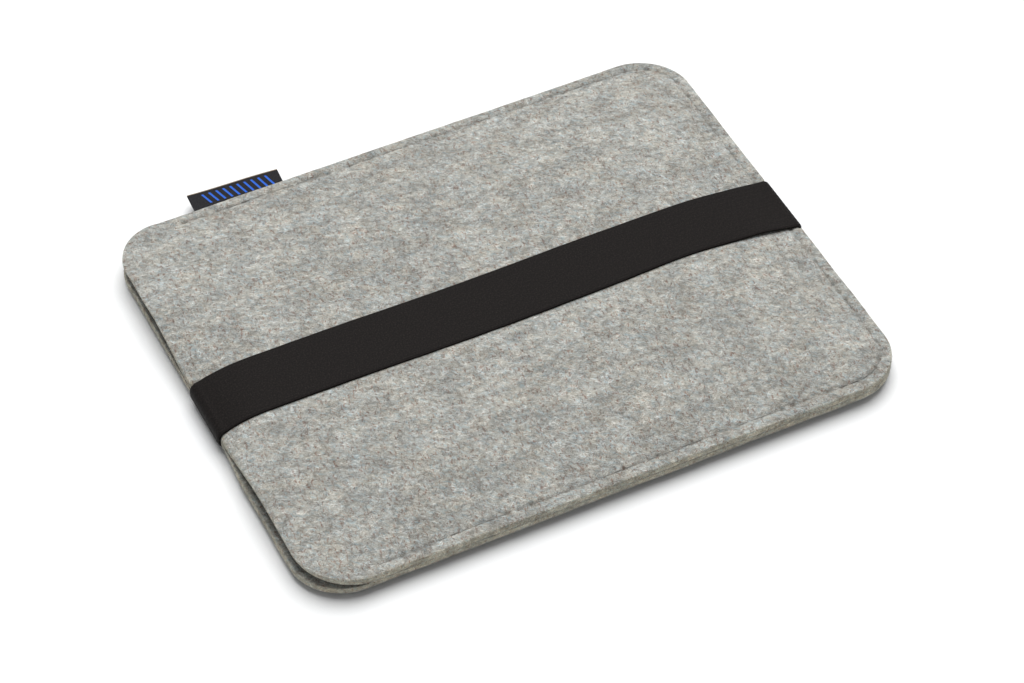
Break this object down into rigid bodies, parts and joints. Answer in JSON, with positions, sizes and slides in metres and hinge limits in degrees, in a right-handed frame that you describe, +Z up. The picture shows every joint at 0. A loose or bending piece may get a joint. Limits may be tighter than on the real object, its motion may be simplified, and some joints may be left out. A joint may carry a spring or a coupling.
{
  "type": "tablet sleeve",
  "caption": "Flat felt sleeve that protects a tablet, sewn on three sides and held shut by an elastic band round its length.",
  "frame": {"origin": "middle of the elastic band's underside, on the surface that the sleeve lies on", "axes": "+X along the sleeve from its mouth to its closed end, +Y towards the long side with the label, +Z up"},
  "size_m": [0.2628, 0.2244, 0.0153],
  "materials": {
    "felt_grey": "mottled wool felt",
    "thread_grey": "matte sewing thread",
    "elastic_black": "woven elastic",
    "rubber_core": "matte",
    "thread_black": "matte sewing thread",
    "label_black": "fine satin weave with a blue pattern"
  },
  "bodies": {
    "sleeve": {"upper_panel": "felt_grey", "lower_panel": "felt_grey", "seam_needle_thread": "thread_grey", "seam_bobbin_thread": "thread_grey", "label_tail": "label_black"},
    "band": {"elastic_band": "elastic_black", "elastic_cores": "rubber_core", "join_needle_thread": "thread_black", "join_bobbin_thread": "thread_black"},
    "label": {"label_tab": "label_black"}
  },
  "joints": [
    {"name": "band_slide", "type": "slide", "parent": "sleeve", "child": "band", "axis": [0, 1, 0], "range_m": [-0.125, 0.125]},
    {"name": "label_flex", "type": "hinge", "parent": "sleeve", "child": "label", "pos_m": [-0.07, 0.1069, 0.00645], "axis": [1, 0, 0], "range_deg": [-75, 75], "stiffness_Nm_per_rad": 0.001}
  ]
}
